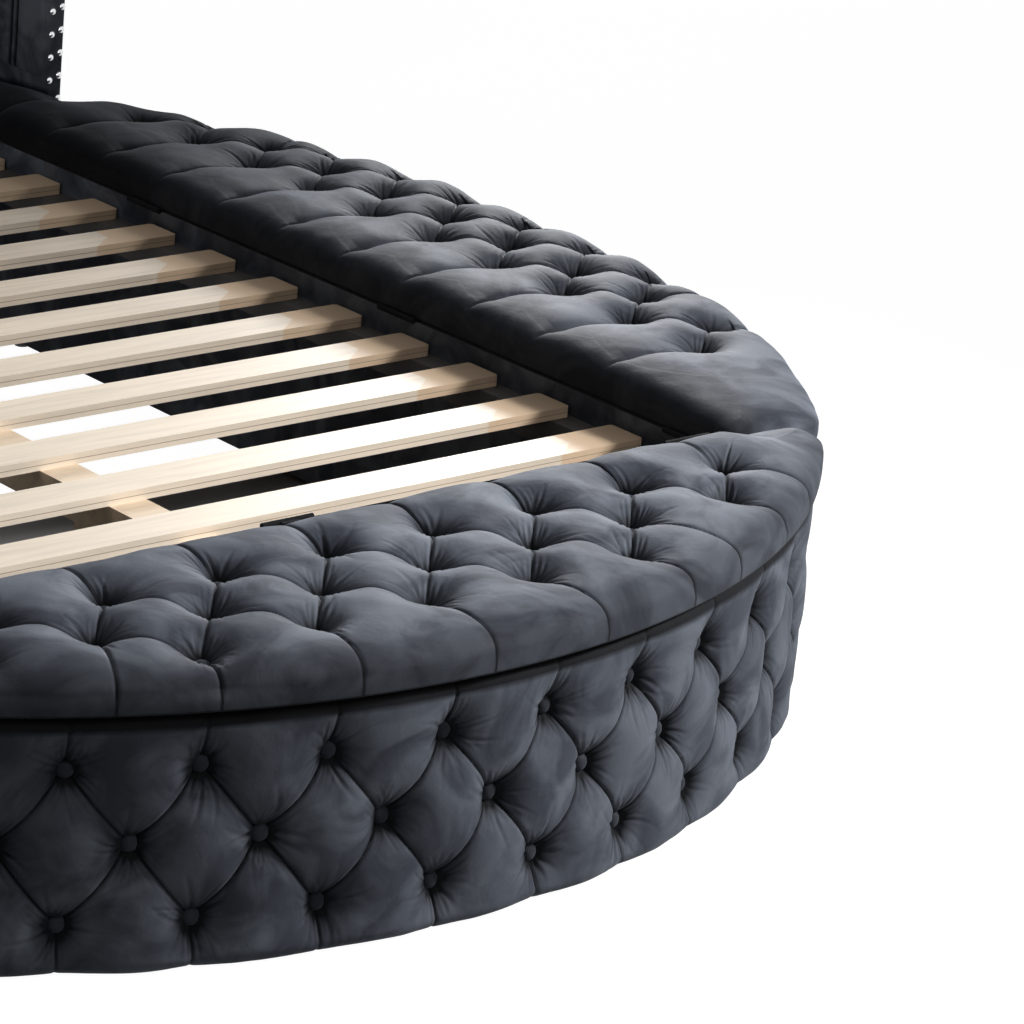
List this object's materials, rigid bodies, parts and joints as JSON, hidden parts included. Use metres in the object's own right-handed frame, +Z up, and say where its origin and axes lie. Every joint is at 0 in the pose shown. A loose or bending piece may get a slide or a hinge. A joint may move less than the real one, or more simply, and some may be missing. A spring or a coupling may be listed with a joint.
{
  "type": "storage bed",
  "caption": "Round upholstered storage bed: deep-buttoned lift-up bench lids round a slatted mattress well, with a winged headboard trimmed in nailheads.",
  "frame": {"origin": "on the floor, under the middle of the whole bed's box", "axes": "+Y from the foot bench to the headboard, +X to the right seen from the foot, +Z up"},
  "size_m": [2.42, 2.5614, 1.4765],
  "materials": {
    "velvet": "charcoal blue-black velvet with a soft bluish-grey bloom",
    "button_velvet": "the same velvet drawn over button moulds",
    "plywood": "unfinished plywood, hidden inside",
    "pine": "pale planed pine",
    "dark_batten": "pine stained almost black",
    "hinge_steel": "black zinc finish",
    "nail_silver": "polished silver domes",
    "glide_plastic": "black plastic",
    "back_cloth": "black spun-bonded dust cloth"
  },
  "bodies": {
    "frame": {"foot_wall_cover": "velvet", "left_wall_cover": "velvet", "right_wall_cover": "velvet", "headboard_cushion": "velvet", "headboard_band": "velvet", "left_wing_cover": "velvet", "right_wing_cover": "velvet", "inner_wall_linings": "velvet", "wall_buttons": "button_velvet", "headboard_buttons": "button_velvet", "foot_outer_wall": "plywood", "left_outer_wall": "plywood", "right_outer_wall": "plywood", "foot_inner_wall": "plywood", "left_inner_wall": "plywood", "right_inner_wall": "plywood", "bench_end_panels": "plywood", "foot_corner_blocks": "plywood", "foot_bottom_board": "plywood", "left_bottom_board": "plywood", "right_bottom_board": "plywood", "headboard_core": "plywood", "left_wing_core": "plywood", "right_wing_core": "plywood", "slat_01": "pine", "slat_02": "pine", "slat_03": "pine", "slat_04": "pine", "slat_05": "pine", "slat_06": "pine", "slat_07": "pine", "slat_08": "pine", "slat_09": "pine", "slat_10": "pine", "slat_11": "pine", "slat_12": "pine", "slat_13": "pine", "centre_rail": "pine", "centre_legs": "pine", "left_slat_cleat": "dark_batten", "right_slat_cleat": "dark_batten", "hinge_box_leaves": "hinge_steel", "hinge_pins": "hinge_steel", "rail_brackets": "hinge_steel", "headboard_bolts": "hinge_steel", "wing_nailheads": "nail_silver", "floor_glides": "glide_plastic", "headboard_back_cloth": "back_cloth"},
    "foot_lid": {"foot_lid_cushion": "velvet", "foot_lid_board": "plywood", "foot_lid_buttons": "button_velvet", "foot_hinge_lid_leaves": "hinge_steel"},
    "left_lid": {"left_lid_cushion": "velvet", "left_lid_board": "plywood", "left_lid_buttons": "button_velvet", "left_hinge_lid_leaves": "hinge_steel"},
    "right_lid": {"right_lid_cushion": "velvet", "right_lid_board": "plywood", "right_lid_buttons": "button_velvet", "right_hinge_lid_leaves": "hinge_steel"}
  },
  "joints": [
    {"name": "foot_lid_hinge", "type": "hinge", "parent": "frame", "child": "foot_lid", "pos_m": [0, -0.83645, 0.368], "axis": [-1, 0, 0], "range_deg": [0, 55]},
    {"name": "left_lid_hinge", "type": "hinge", "parent": "frame", "child": "left_lid", "pos_m": [-0.7667, 0.06925, 0.327], "axis": [0, 1, 0], "range_deg": [0, 70]},
    {"name": "right_lid_hinge", "type": "hinge", "parent": "frame", "child": "right_lid", "pos_m": [0.7667, 0.06925, 0.327], "axis": [0, -1, 0], "range_deg": [0, 70]}
  ]
}
